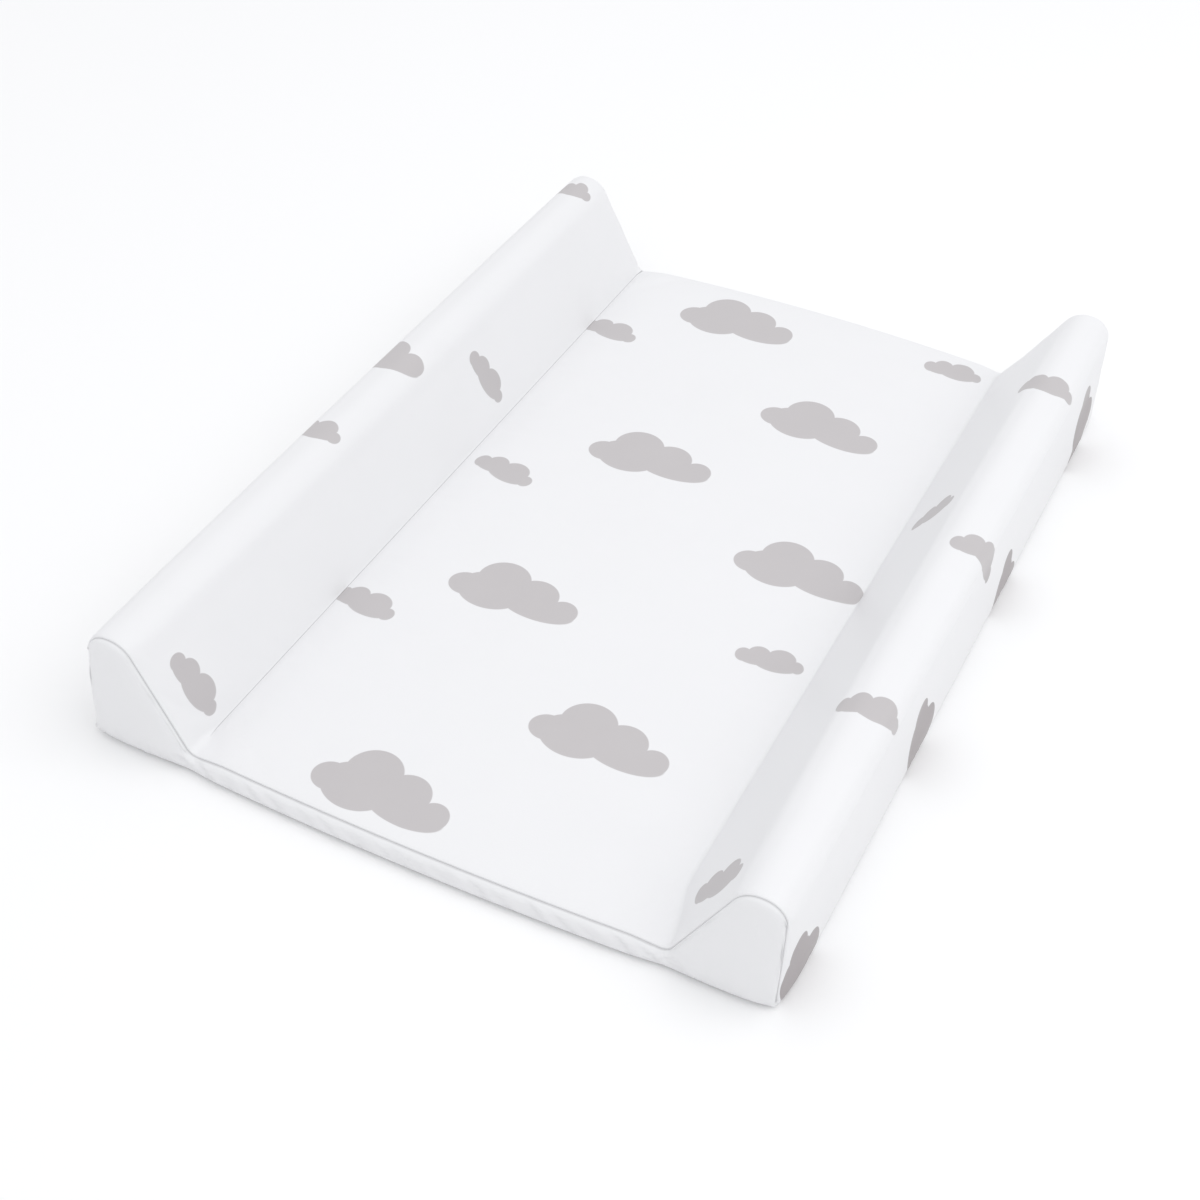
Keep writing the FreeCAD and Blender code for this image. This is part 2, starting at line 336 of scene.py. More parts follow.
def half_outline(section):
    """Points of the half, its sections' first indices, and the outward normals."""
    corners = half_corners(section)
    points, normals, starts = [], [], []
    position = np.array(corners[0][:2])
    for index in range(1, len(corners)):
        corner = np.array(corners[index][:2])
        back = unit(corner, corners[index - 1][:2])
        last = index == len(corners) - 1
        ahead = back if last else unit(corner, corners[index + 1][:2])
        opening = math.pi if last else math.acos(float(back @ ahead))
        radius = corners[index][2]
        reach = 0.0 if last else radius / math.tan(opening / 2)
        arc_start = corner + back * reach
        length = float(np.linalg.norm(arc_start - position))
        if LINE_CELLS[index - 1] is None:
            shares = np.linspace(1, 0, WALL_CELLS + 1)
            at = length * (1 - shares**WALL_GRADING)
        else:
            at = np.linspace(0, length, LINE_CELLS[index - 1] + 1)
        side = np.array([-back[1], back[0]])
        starts.append(len(points))
        for distance in at[: None if last else -1]:
            points.append(position - back * distance)
            normals.append(side)
        if last:
            break
        starts.append(len(points))
        turn = math.pi - opening
        bend = math.copysign(1.0, float(-back[0] * ahead[1] + back[1] * ahead[0]))
        centre = arc_start - side * radius * bend
        for angle in np.linspace(0, turn, ARC_CELLS[index - 1] + 1)[:-1]:
            c, s = math.cos(angle * bend), math.sin(angle * bend)
            normal = np.array([side[0] * c - side[1] * s, side[0] * s + side[1] * c])
            points.append(centre + normal * radius * bend)
            normals.append(normal)
        position = corner + ahead * reach
    return np.array(points), starts, np.array(normals)


def outline(right_section, left_section):
    """The whole cross-section from the right hem to the left hem, with its normals."""
    right, starts, right_normals = half_outline(right_section)
    left, _, left_normals = half_outline(left_section)
    mirror = np.array((-1.0, 1.0))
    points = np.concatenate([right, left[-2::-1] * mirror])
    normals = np.concatenate([right_normals, left_normals[-2::-1] * mirror])
    return points, starts, normals


def arc_length(points):
    """Distance along the film from the middle of the pad, positive to the right."""
    steps = np.linalg.norm(np.diff(points, axis=0), axis=1)
    along = np.concatenate([[0.0], np.cumsum(steps)])
    return along[-1] / 2 - along


def length_stations():
    """Distances along the pad, packed closely towards both seams."""
    half = graded(HALF_LENGTH, SEAM_CELL, CELL, CELL_GROWTH)
    front = half - HALF_LENGTH
    return np.concatenate([front, -front[-2::-1]])


def smoothstep(low, high, value):
    """0 below low, 1 above high, and smooth between them."""
    share = np.clip((value - low) / (high - low), 0, 1)
    return share * share * (3 - 2 * share)


def seam_curve(distance):
    """How far a film has dropped into the seam, as a share, at a distance from it."""
    share = np.clip(1 - distance / SEAM_ROLL, 0, 1)
    return 1 - np.sqrt(1 - share**2)


def bow(points):
    """The pad's ends bow outwards between the wedges."""
    span = np.clip(1 - (points[..., 0] / VALLEY_X) ** 2, 0, 1)
    reach = smoothstep(HALF_LENGTH - BOW_REACH, HALF_LENGTH, np.abs(points[..., 1]))
    amount = np.where(points[..., 1] < 0, -FRONT_BOW, REAR_BOW)
    points[..., 1] += amount * span * reach


def lift_corners(points, plan_x, plan_y):
    """The seams draw the bottom corners up a little."""
    away = np.hypot(HALF_WIDTH - np.abs(plan_x), HALF_LENGTH - np.abs(plan_y))
    low = 1 - smoothstep(0, LIFT_HEIGHT, points[..., 2])
    points[..., 2] += CORNER_LIFT * np.exp(-((away / LIFT_SPREAD) ** 2)) * low


# ---------------------------------------------------------------- the film's shape

profile_end, sections, normals_end = outline(END_SECTION, END_SECTION)
profile_rear, _, normals_rear = outline(SLACK_END_SECTION, END_SECTION)
profile_mid, _, normals_mid = outline(SLACK_SECTION, TIGHT_SECTION)
profile_core, _, normals_core = outline(TIGHT_SECTION, TIGHT_SECTION)
film_u = arc_length(profile_mid)
film_v = length_stations()
WALL, SHOULDER = sections[2], sections[3]
ACROSS = len(profile_mid)
MIDDLE_ROW = (ACROSS - 1) // 2
core_half = profile_core[:MIDDLE_ROW]
VALLEY_ROW = int(np.argmin(core_half[:, 1] + (core_half[:, 0] > VALLEY_X + WALL_START)))


def base_inset(x, z):
    """How far a point under the base lies in from the wall above it."""
    return np.where(z < BASE_RADIUS - LEVEL, HALF_WIDTH - np.abs(x), 0.0)


def valley_puff(profile):
    """Share by which each row of the cover stands up beside the two sharp valley lines."""
    along = arc_length(profile)
    share = np.zeros(ACROSS)
    for row, amount in ((VALLEY_ROW, SLACK_PUFF), (ACROSS - 1 - VALLEY_ROW, 1.0)):
        away = np.abs(along - along[row])
        share += amount * (1 - np.exp(-((away / PUFF_EDGE) ** 2))) * np.exp(-away / PUFF_REACH)
    return share


def flare_left(points, plan_x, inset):
    """The left wall leans out towards its base."""
    high = np.clip(1 - points[..., 2] / FLARE_HEIGHT, 0, 1)
    side = smoothstep(VALLEY_X + FLARE_START, HALF_WIDTH, -plan_x)
    points[..., 0] -= LEFT_FLARE * high * side * (1 - inset / HEM)


def cover_shape(profile, normals, slack_stops):
    """Points of the cover: rows across the pad, one column per station along it."""
    end = HALF_LENGTH - np.abs(film_v)
    rear = film_v > 0
    tight = np.where(rear, smoothstep(*TIE_STOPS_REAR, end), smoothstep(*TIE_STOPS_FRONT, end))
    slack = np.where(rear, tight, smoothstep(*slack_stops, end))
    swollen = (1 - np.exp(-end / SWELL_REACH))[None, :]
    valley = np.where((profile_end[:, 0] > 0)[:, None], slack[None, :], tight[None, :])
    high = smoothstep(*TIE_BLEND, np.abs(profile_end[:, 0]) - VALLEY_X)[:, None]
    share = (valley * (1 - high) + swollen * high)[..., None]
    ends = np.where(rear[None, :, None], profile_rear[:, None, :], profile_end[:, None, :])
    end_normals = np.where(rear[None, :, None], normals_rear[:, None, :], normals_end[:, None, :])
    section = ends * (1 - share) + profile[:, None, :] * share
    normal = end_normals * (1 - share) + normals[:, None, :] * share
    x, z = section[..., 0], section[..., 1]
    inset = base_inset(profile_end[:, 0], profile_end[:, 1])[:, None]
    y = film_v[None, :] * (1 - inset / HALF_LENGTH)
    points = np.stack([x, y, z], axis=-1)
    plan_x, plan_y = x.copy(), y.copy()

    from_seam = end[None, :]
    share = smoothstep(*WALL_BULGE_HEIGHTS, z)
    low = smoothstep(*WALL_BASE_HEIGHTS, z)
    swell = (WALL_BULGE_TOP + (WALL_BULGE_BASE - WALL_BULGE_TOP) * low) * share
    swell = swell * (1 - inset / HEM) * (np.abs(x) > VALLEY_X + WALL_START)
    points[..., 0] += np.sign(x) * swell * (1 - np.exp(-from_seam / CORNER_SPREAD))

    drop = SEAM_DEPTH * seam_curve(from_seam)
    above = inset == 0
    points[..., 0] -= normal[..., 0] * drop * above
    points[..., 2] -= normal[..., 1] * drop * above
    pull = SEAM_DEPTH * np.clip(1 - from_seam / SEAM_ROLL, 0, 1)
    points[..., 1] -= np.sign(film_v)[None, :] * pull * above
    points[..., 2] += PUFF * valley_puff(profile)[:, None] * valley
    flare_left(points, plan_x, inset)
    bow(points)
    lift_corners(points, plan_x, plan_y)
    return points


def panel_shape(sign, profile, normals):
    """Points of an end panel: rows from the seam down and under, a column per seam point.

    It also returns the panel's film map: distance from the seam, and height.
    """
    top = profile[SHOULDER : ACROSS - SHOULDER]
    below = profile[SHOULDER::-1]
    wall_top = below[0, 1]
    share = np.clip((below[:, 1] - BASE_RADIUS) / (wall_top - BASE_RADIUS), 0, 1)[:, None]
    inset = base_inset(below[:, 0], below[:, 1])[:, None]
    under = below[:, 1][:, None] < BASE_RADIUS - LEVEL
    x = top[None, :, 0] * (1 - inset / HALF_WIDTH)
    z = BASE_RADIUS + (top[None, :, 1] - BASE_RADIUS) * share
    z = np.where(under, below[:, 1][:, None], z)
    y = sign * (HALF_LENGTH - inset) * np.ones_like(x)
    points = np.stack([x, y, z], axis=-1)
    plan_x, plan_y = x.copy(), y.copy()

    seam = profile[WALL : ACROSS - WALL]
    seam_normal = normals[WALL : ACROSS - WALL]
    gap = np.stack([x, z], axis=-1)[:, :, None, :] - seam[None, None, :, :]
    distance = np.linalg.norm(gap, axis=-1)
    nearest = distance.argmin(axis=-1)
    away = distance.min(axis=-1)
    rise = 1 - np.exp(-away / PANEL_SWELL)
    low = smoothstep(*PANEL_BASE_HEIGHTS, z)
    corner = 1 - np.exp(-(HALF_WIDTH - np.abs(x)) / CORNER_SPREAD)
    swell = PANEL_BULGE_TOP * rise + (PANEL_BULGE_BASE - PANEL_BULGE_TOP) * low * rise * corner
    points[..., 1] += sign * swell * (1 - inset / HEM)

    normal = seam_normal[nearest]
    above = ~under & (share > 0)
    drop = SEAM_DEPTH * seam_curve(away) * above
    pull = SEAM_DEPTH * np.clip(1 - away / SEAM_ROLL, 0, 1) * above
    points[..., 0] -= normal[..., 0] * pull
    points[..., 2] -= normal[..., 1] * pull
    points[..., 1] -= sign * drop
    flare_left(points, plan_x, inset)
    wedge = smoothstep(*(VALLEY_X + start for start in FOOT_START), np.abs(plan_x))
    tuck = FOOT_TUCK * smoothstep(*FOOT_HEIGHTS, z) * wedge * corner
    points[..., 1] -= sign * tuck * (1 - inset / HEM)
    crinkle(points, z, above)
    bow(points)
    lift_corners(points, plan_x, plan_y)
    return points, np.stack([away, z], axis=-1)


def crinkle(points, z, above):
    """Small uneven folds along the foot of an end panel, where the film is gathered."""
    seeded = np.random.default_rng(CRINKLE_SEED)
    relief = np.zeros_like(z)
    for length in CRINKLE_LENGTHS:
        along, lean = seeded.uniform(0, 2 * math.pi, 2)
        slope = math.sin(lean)
        place = points[..., 0] + slope * z * CRINKLE_LEAN
        relief += np.sin(2 * math.pi * place / length + along)
    foot = smoothstep(CRINKLE_TOP, CRINKLE_TOP / 2, z)
    points[..., 1] += CRINKLE * relief / len(CRINKLE_LENGTHS) * foot * above


def join_seams(cover, front, rear):
    """Gives both films the same points along each seam."""
    rows = front.shape[0]
    for panel, column in ((front, 0), (rear, -1)):
        panel[0] = cover[SHOULDER : ACROSS - SHOULDER, column]
        for row in range(rows):
            panel[row, 0] = cover[SHOULDER - row, column]
            panel[row, -1] = cover[ACROSS - 1 - SHOULDER + row, column]


def joined_bag(cover, front, rear):
    """The three films as one mesh: its points, faces, pins, outward directions and places."""
    stations = cover.shape[1]
    index = np.arange(ACROSS * stations).reshape(ACROSS, stations)
    vertices = [cover.reshape(-1, 3)]
    faces = [grid_faces(ACROSS, stations, True)]
    pinned = [held_places(cover)]
    outward = [grid_normals(cover, True).reshape(-1, 3)]
    places = []
    count = ACROSS * stations
    for panel, column in ((front, 0), (rear, -1)):
        rows, across = panel.shape[:2]
        place = np.zeros((rows, across), int)
        place[0] = index[SHOULDER : ACROSS - SHOULDER, column]
        place[1:, 0] = [index[SHOULDER - row, column] for row in range(1, rows)]
        place[1:, -1] = [index[ACROSS - 1 - SHOULDER + row, column] for row in range(1, rows)]
        inner = (rows - 1) * (across - 2)
        place[1:, 1:-1] = count + np.arange(inner).reshape(rows - 1, across - 2)
        count += inner
        vertices.append(panel[1:, 1:-1].reshape(-1, 3))
        outward.append(grid_normals(panel, column == 0)[1:, 1:-1].reshape(-1, 3))
        fixed = np.zeros((rows - 1, across - 2))
        fixed[panel[1:, 1:-1, 2] < BASE_RADIUS] = 1.0
        pinned.append(fixed.reshape(-1))
        faces.append(place.reshape(-1)[grid_faces(rows, across, column == 0)])
        places.append(place)
    pinned = np.clip(np.concatenate(pinned), 0, 1)
    stacked = (np.concatenate(part) for part in (vertices, faces, outward))
    return *stacked, pinned, places


def blown_up(vertices, faces, pinned):
    """Where the points of the bag are after the cloth simulation."""
    bag = make_object("settling_film", vertices, faces)
    group = bag.vertex_groups.new(name="held")
    for step in range(1, PIN_STEPS + 1):
        chosen = np.nonzero(np.round(pinned * PIN_STEPS) == step)[0]
        group.add(chosen.tolist(), step / PIN_STEPS, "REPLACE")
    cloth = bag.modifiers.new("cloth", "CLOTH")
    settings = cloth.settings
    settings.quality = SETTLE_QUALITY
    settings.mass = CLOTH_MASS
    settings.tension_stiffness = CLOTH_STRETCH
    settings.compression_stiffness = CLOTH_STRETCH
    settings.shear_stiffness = CLOTH_SHEAR
    settings.bending_stiffness = CLOTH_BEND
    settings.use_pressure = True
    settings.uniform_pressure_force = SETTLE_PRESSURE
    settings.vertex_group_mass = "held"
    settings.effector_weights.gravity = 0
    settings.shrink_min = -SETTLE_SLACK
    settings.shrink_max = -SETTLE_SLACK
    cloth.point_cache.frame_start = 1
    cloth.point_cache.frame_end = SETTLE_FRAMES
    for current in range(1, SETTLE_FRAMES + 1):
        bpy.context.scene.frame_set(current)
    shown = bag.evaluated_get(bpy.context.evaluated_depsgraph_get()).to_mesh()
    settled = np.zeros(len(vertices) * 3)
    shown.vertices.foreach_get("co", settled)
    bpy.context.scene.frame_set(1)
    bpy.data.objects.remove(bag)
    return settled.reshape(-1, 3)


def settle_film(cover, front, rear):
    """Swells the joined films a little as cloth, held at the seams, the valleys and the hem.

    Only movement outwards counts, because the foam is behind the film.
    """
    bag = joined_bag(cover, front, rear)
    vertices, faces, outward, pinned, places = bag
    moved = blown_up(vertices, faces, pinned) - vertices
    far = np.clip((moved * outward).sum(axis=1), 0, None)
    far *= (1 - pinned) * SETTLE_LIMIT / (SETTLE_LIMIT + far)
    settled = vertices + outward * far[:, None]
    cover[:] = settled[: cover.shape[0] * cover.shape[1]].reshape(cover.shape)
    for panel, place in zip((front, rear), places):
        panel[:] = settled[place]


def held_places(cover):
    """How firmly each point of the cover is held: 1 on the seams, the valleys and the hem."""
    end = HALF_LENGTH - np.abs(film_v)[None, :]
    near_seam = np.exp(-((end / PIN_REACH) ** 2))
    near_valley = np.zeros((ACROSS, 1))
    for row in (VALLEY_ROW, ACROSS - 1 - VALLEY_ROW):
        away = np.abs(film_u - film_u[row])[:, None]
        near_valley = np.maximum(near_valley, np.exp(-((away / PIN_REACH) ** 2)))
    under = (cover[..., 2] < BASE_RADIUS).astype(float)
    return np.maximum(np.maximum(near_seam, near_valley), under).reshape(-1)


# ---------------------------------------------------------------- meshes


def grid_faces(rows, columns, flip=False):
    """Quads of a grid of points stored row by row."""
    index = np.arange(rows * columns).reshape(rows, columns)
    a, b, c, d = index[:-1, :-1], index[1:, :-1], index[1:, 1:], index[:-1, 1:]
    faces = np.stack([a, b, c, d], axis=-1).reshape(-1, 4)
    return faces[:, ::-1] if flip else faces


def grid_normals(points, flip=False):
    """Normals of a grid of points."""
    du = np.gradient(points, axis=0)
    dv = np.gradient(points, axis=1)
    normal = np.cross(du, dv)
    normal /= np.maximum(np.linalg.norm(normal, axis=-1, keepdims=True), 1e-12)
    return -normal if flip else normal


def make_object(name, points, faces, caps=()):
    """A mesh object in the scene, smooth shaded apart from its caps."""
    mesh = bpy.data.meshes.new(name)
    sides = np.asarray(faces).tolist()
    mesh.from_pydata(np.asarray(points).reshape(-1, 3).tolist(), [], sides + list(caps))
    mesh.polygons.foreach_set("use_smooth", [True] * len(sides) + [False] * len(caps))
    piece = bpy.data.objects.new(name, mesh)
    bpy.context.scene.collection.objects.link(piece)
    return piece


def rim_faces(rows, columns):
    """Quads that join the edges of two equal grids, the second one stored after the first."""
    index = np.arange(rows * columns).reshape(rows, columns)
    loop = np.concatenate([index[:, 0], index[-1, 1:], index[-2::-1, -1], index[0, -2:0:-1]])
    after = np.roll(loop, -1)
    offset = rows * columns
    return np.stack([loop, loop + offset, after + offset, after], axis=-1)


def shell(name, points, depth_out, depth_in, flip=False, film=None):
    """A closed skin between two depths under a grid of points."""
    rows, columns = points.shape[:2]
    normal = grid_normals(points, flip)
    outer = points - normal * depth_out
    inner = points - normal * depth_in
    top = grid_faces(rows, columns, flip)
    under = grid_faces(rows, columns, not flip) + rows * columns
    rim = rim_faces(rows, columns)
    rim = rim[:, ::-1] if flip else rim
    faces = np.concatenate([top, under, rim])
    piece = make_object(name, np.concatenate([outer.reshape(-1, 3), inner.reshape(-1, 3)]), faces)
    sharpen_rim(piece, rows, columns)
    if film is not None:
        add_film_map(piece, film)
    return piece


def sharpen_rim(piece, rows, columns):
    """Keeps the edge of a skin crisp, so that its faces shade as a flat sheet."""
    mesh = piece.data
    row = np.arange(rows * columns) // columns
    column = np.arange(rows * columns) % columns
    border = (row == 0) | (row == rows - 1) | (column == 0) | (column == columns - 1)
    border = np.concatenate([border, border])
    edges = np.zeros(len(mesh.edges) * 2, np.int32)
    mesh.edges.foreach_get("vertices", edges)
    edges = edges.reshape(-1, 2)
    sharp = border[edges[:, 0]] & border[edges[:, 1]]
    mesh.attributes.new("sharp_edge", "BOOLEAN", "EDGE").data.foreach_set("value", sharp)


def add_film_map(piece, film):
    """Stores each point's place on the flat film, in millimetres, as a UV map."""
    mesh = piece.data
    both = np.concatenate([film.reshape(-1, 2), film.reshape(-1, 2)]) / MM
    corners = np.zeros(len(mesh.loops), np.int32)
    mesh.loops.foreach_get("vertex_index", corners)
    layer = mesh.uv_layers.new(name="film")
    layer.data.foreach_set("uv", both[corners].astype(np.float32).reshape(-1))


def material_of(piece, material):
    """Gives a piece its one material."""
    piece.data.materials.clear()
    piece.data.materials.append(material)


def loft(name, loops):
    """A closed solid through equal closed loops, with a flat cap on each end."""
    count, size = loops.shape[:2]
    index = np.arange(count * size).reshape(count, size)
    after = np.roll(index, -1, axis=1)
    sides = np.stack([index[:-1], after[:-1], after[1:], index[1:]], axis=-1).reshape(-1, 4)
    return make_object(name, loops, sides, (index[0, ::-1].tolist(), index[-1].tolist()))


def ring_sweep(name, path, across, up, half_across, half_up, sides=10):
    """A bead with an oval section along a path, given its two section directions."""
    angles = np.arange(sides) * 2 * math.pi / sides
    ring = np.cos(angles)[None, :, None] * half_across * across[:, None, :]
    ring = ring + np.sin(angles)[None, :, None] * half_up * up[:, None, :]
    return loft(name, path[:, None, :] + ring)


# ---------------------------------------------------------------- materials


def node(tree, kind, inputs=None, **settings):
    """A shader node with its settings, and its inputs given as values or as sockets to link."""
    made = tree.nodes.new("ShaderNode" + kind)
    for name, value in settings.items():
        setattr(made, name, value)
    for name, value in (inputs or {}).items():
        if isinstance(value, bpy.types.NodeSocket):
            tree.links.new(value, made.inputs[name])
        else:
            made.inputs[name].default_value = value
    return made


def calc(tree, operation, *values):
    """The result of one calculation on values or sockets."""
    return node(tree, "Math", dict(enumerate(values)), operation=operation).outputs[0]


def ramp(tree, value, start, end):
    """A share that goes from 0 to 1 as a value goes from the start to the end."""
    inputs = {"Value": value, "From Min": start, "From Max": end}
    return node(tree, "MapRange", inputs).outputs["Result"]


def spread(tree, share, low, high):
    """A value between two, by a share."""
    inputs = {"Value": share, "To Min": low, "To Max": high}
    return node(tree, "MapRange", inputs).outputs["Result"]


def base_material(name, roughness, specular=0.5, metallic=0.0):
    """A new material with its tree and its shader node."""
    made = bpy.data.materials.new(name)
    made.use_nodes = True
    shader = made.node_tree.nodes["Principled BSDF"]
    shader.inputs["Roughness"].default_value = roughness
    shader.inputs["Specular IOR Level"].default_value = specular
    shader.inputs["Metallic"].default_value = metallic
    return made, made.node_tree, shader


def object_noise(tree, scale, detail=2.0, stretch=(1.0, 1.0, 1.0)):
    """Noise over the object's own coordinates; the scale counts features per metre."""
    place = node(tree, "TexCoord").outputs["Object"]
    place = node(tree, "Mapping", {"Vector": place, "Scale": stretch}).outputs["Vector"]
    inputs = {"Vector": place, "Scale": scale, "Detail": detail}
    return node(tree, "TexNoise", inputs).outputs["Fac"]


def blend_colours(tree, share, low, high):
    """A colour between two, which may be sockets or values."""
    mix = node(tree, "Mix", {"Factor": share}, data_type="RGBA")
    for socket, value in ((mix.inputs[6], low), (mix.inputs[7], high)):
        if isinstance(value, bpy.types.NodeSocket):
            tree.links.new(value, socket)
        else:
            socket.default_value = (*value, 1.0)
    return mix.outputs[2]


def bump(tree, shader, height, distance, strength=1.0):
    """Fine relief from a height socket; the distance is its real depth in metres."""
    inputs = {"Height": height, "Distance": distance, "Strength": strength}
    tree.links.new(node(tree, "Bump", inputs).outputs["Normal"], shader.inputs["Normal"])


def film_grain(tree, shader):
    """The fine embossed grain of coated film, with its slightly uneven gloss."""
    fine = object_noise(tree, FILM_GRAIN_SCALE, detail=3.0)
    broad = object_noise(tree, FILM_PATCH_SCALE)
    tree.links.new(spread(tree, broad, *FILM_GLOSS), shader.inputs["Roughness"])
    bump(tree, shader, fine, FILM_GRAIN_DEPTH, FILM_GRAIN_STRENGTH)
    return broad


def nearest_place(tree, film, places):
    """A point's coordinates within the nearest cloud."""
    nearest, closest = None, None
    for x, y, turn, size in places:
        inputs = {"Vector": film, "Location": (x, y, 0), "Rotation": (0, 0, math.radians(turn))}
        inputs["Scale"] = (size, size, 1)
        local = node(tree, "Mapping", inputs, vector_type="TEXTURE").outputs["Vector"]
        away = node(tree, "VectorMath", {0: local}, operation="LENGTH").outputs["Value"]
        if nearest is None:
            nearest, closest = local, away
            continue
        closer = calc(tree, "LESS_THAN", away, closest)
        mix = node(tree, "Mix", {0: closer, 4: nearest, 5: local}, data_type="VECTOR")
        nearest = mix.outputs[1]
        closest = calc(tree, "MINIMUM", away, closest)
    return nearest


def cloud_outside(tree, local, lobes):
    """About how far a point lies outside a cloud that is made of overlapping ellipses."""
    outside = None
    for x, y, half_width, half_height in lobes:
        flat = {"Vector": local, "Location": (-x / half_width, -y / half_height, 0)}
        flat["Scale"] = (1 / half_width, 1 / half_height, 0)
        round_place = node(tree, "Mapping", flat).outputs["Vector"]
        length = node(tree, "VectorMath", {0: round_place}, operation="LENGTH").outputs["Value"]
        size = min(half_width, half_height)
        gap = calc(tree, "MULTIPLY_ADD", length, size, -size)
        outside = gap if outside is None else calc(tree, "MINIMUM", outside, gap)
    return outside


def clouds_outside(tree):
    """How far a point of the film lies outside the nearest printed cloud, in millimetres."""
    film = node(tree, "UVMap", uv_map="film").outputs["UV"]
    large = cloud_outside(tree, nearest_place(tree, film, LARGE_PLACES), LARGE_CLOUD)
    small = cloud_outside(tree, nearest_place(tree, film, SMALL_PLACES), SMALL_CLOUD)
    return calc(tree, "MINIMUM", large, small)


def shaded(tree, clear, colour, darkest):
    """A colour, darkened as painted shade where a share is low."""
    shade = blend_colours(tree, clear, (darkest, darkest, darkest), (1.0, 1.0, 1.0))
    mix = node(tree, "Mix", {"Factor": 1.0, 6: colour, 7: shade}, data_type="RGBA")
    mix.blend_type = "MULTIPLY"
    return mix.outputs[2]


def seam_painted_shade(tree, distance, colour):
    """The film's colour with painted shade: darker in the narrow groove beside a seam."""
    return shaded(tree, ramp(tree, distance, *SEAM_SHADE_REACH), colour, SEAM_SHADE)


def fold_painted_shade(tree, across, along, colour):
    """The film's colour with painted shade: darker in the tight fold along the left valley."""
    fold = VALLEY_FOLD / MM / 2
    middle = fold - film_u[ACROSS - 1 - VALLEY_ROW] / MM
    away = calc(tree, "ABSOLUTE", calc(tree, "ADD", across, middle))
    clear = ramp(tree, away, *(fold * share for share in FOLD_SHADE_REACH))
    before = ramp(tree, along, FOLD_SHADE_START[1], FOLD_SHADE_START[0])
    return shaded(tree, calc(tree, "MAXIMUM", clear, before), colour, FOLD_SHADE)


def printed_film():
    """White coated film with grey clouds printed on it, painted shade in the left valley's fold,
    and the print painted darker across the right wall as painted shade.
    """
    made, tree, shader = base_material("printed_film", FILM_ROUGHNESS)
    broad = film_grain(tree, shader)
    film = node(tree, "UVMap", uv_map="film").outputs["UV"]
    place = node(tree, "SeparateXYZ", {"Vector": film})
    across, along = place.outputs["X"], place.outputs["Y"]
    ink = ramp(tree, clouds_outside(tree), INK_EDGE, -INK_EDGE)
    white = blend_colours(tree, broad, FILM_SHADE, FILM_WHITE)
    grey = blend_colours(tree, broad, INK_DARK, INK_LIGHT)
    # Painted shade: the ink is painted darker across the right wall.
    grey = blend_colours(tree, ramp(tree, across, *INK_WALL), grey, INK_PAINTED_SHADE)
    # Painted shade in the left valley's fold, over the print.
    colour = fold_painted_shade(tree, across, along, blend_colours(tree, ink, white, grey))
    tree.links.new(colour, shader.inputs["Base Color"])
    return made


def plain_film(name, low, high, seam_shaded=False):
    """The same coated film without a print, and, when asked, with painted shade in a dark line
    beside its seam.
    """
    made, tree, shader = base_material(name, FILM_ROUGHNESS)
    broad = film_grain(tree, shader)
    colour = blend_colours(tree, broad, low, high)
    # Painted shade: a dark line in the groove beside the seam.
    if seam_shaded:
        film = node(tree, "UVMap", uv_map="film").outputs["UV"]
        away = node(tree, "SeparateXYZ", {"Vector": film}).outputs["X"]
        colour = seam_painted_shade(tree, away, colour)
    tree.links.new(colour, shader.inputs["Base Color"])
    return made


def foam_material():
    """Open-cell foam: pale yellow, with pores of about a millimetre."""
    made, tree, shader = base_material("foam", 0.95, specular=0.2)
    place = node(tree, "TexCoord").outputs["Object"]
    cells = node(tree, "TexVoronoi", {"Vector": place, "Scale": FOAM_SCALE}).outputs["Distance"]
    colour = blend_colours(tree, cells, *FOAM_COLOURS)
    tree.links.new(colour, shader.inputs["Base Color"])
    bump(tree, shader, cells, FOAM_DEPTH)
    return made


def wadding_material():
    """Bonded polyester wadding: white fibres with thin and thick places."""
    made, tree, shader = base_material("wadding", 1.0, specular=0.1)
    tufts = object_noise(tree, WADDING_SCALE, detail=8.0, stretch=(1.0, 0.5, 1.0))
    colour = blend_colours(tree, tufts, *WADDING_COLOURS)
    tree.links.new(colour, shader.inputs["Base Color"])
    bump(tree, shader, tufts, WADDING_DEPTH)
    return made


def board_material():
    """Hardboard: brown pressed fibres."""
    made, tree, shader = base_material("hardboard", 0.75, specular=0.3)
    fibres = object_noise(tree, FIBRE_SCALE, detail=6.0, stretch=(1.0, 0.35, 1.0))
    patches = object_noise(tree, BOARD_PATCH_SCALE, detail=3.0)
    colour = blend_colours(tree, fibres, blend_colours(tree, patches, *BOARD_COLOURS), FIBRE_COLOUR)
    tree.links.new(colour, shader.inputs["Base Color"])
    bump(tree, shader, fibres, FIBRE_DEPTH)
    return made


def metal_material(name, colours, roughness):
    """Plated metal with faint marks where it is duller."""
    made, tree, shader = base_material(name, roughness, metallic=1.0)
    marks = object_noise(tree, METAL_MARK_SCALE, detail=4.0)
    tree.links.new(blend_colours(tree, marks, *colours), shader.inputs["Base Color"])
    dull = spread(tree, marks, *(roughness * share for share in METAL_DULLNESS))
    tree.links.new(dull, shader.inputs["Roughness"])
    return made


# ---------------------------------------------------------------- making the pieces


def dress(piece, material, slot, *nodes):
    """Gives a piece its material and its body, and hides the nodes it stands for; the slot is not
    used.
    """
    material_of(piece, material)
    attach(piece, "root")
    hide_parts(*nodes)


def make_welt(name, cover, sign):
    """The rounded bound edge that stands a little proud along an end's seam."""
    column = 0 if sign < 0 else -1
    path = cover[WALL : ACROSS - WALL, column].copy()
    flat = normals_end[WALL : ACROSS - WALL]
    up = np.stack([flat[:, 0], np.zeros(len(flat)), flat[:, 1]], axis=-1)
    across = np.tile((0.0, 1.0, 0.0), (len(path), 1))
    path += up * WELT_RISE
    path[:, 1] += sign * WELT_OUT
    return ring_sweep(name, path, across, up, WELT_RADIUS, WELT_RADIUS)


